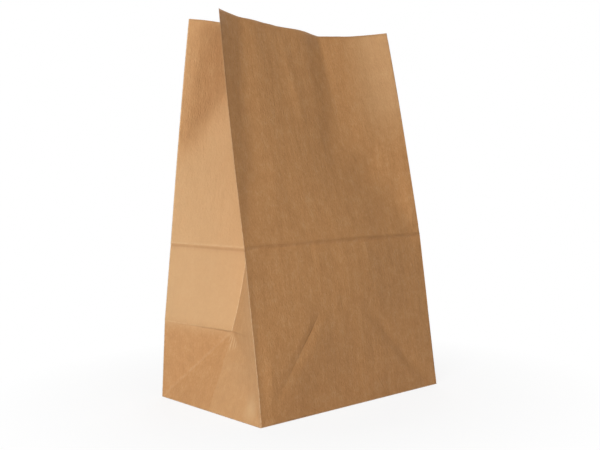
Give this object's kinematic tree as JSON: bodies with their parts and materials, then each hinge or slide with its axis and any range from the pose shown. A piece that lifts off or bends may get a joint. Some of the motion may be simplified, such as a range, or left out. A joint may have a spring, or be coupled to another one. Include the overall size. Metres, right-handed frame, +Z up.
{
  "type": "paper lunch bag",
  "caption": "Flat-bottomed brown kraft paper bag with folded side gussets, standing with its mouth open to carry lunch or take-away food.",
  "frame": {"origin": "centre of the bottom, on the surface that the bag stands on", "axes": "+Z up to the mouth, -Y out of the front panel, +X to the right when facing the front"},
  "size_m": [0.1806, 0.1201, 0.2838],
  "materials": {
    "kraft_paper": "matte uncoated brown kraft"
  },
  "bodies": {
    "root": {"paper_bag": "kraft_paper"}
  },
  "joints": []
}
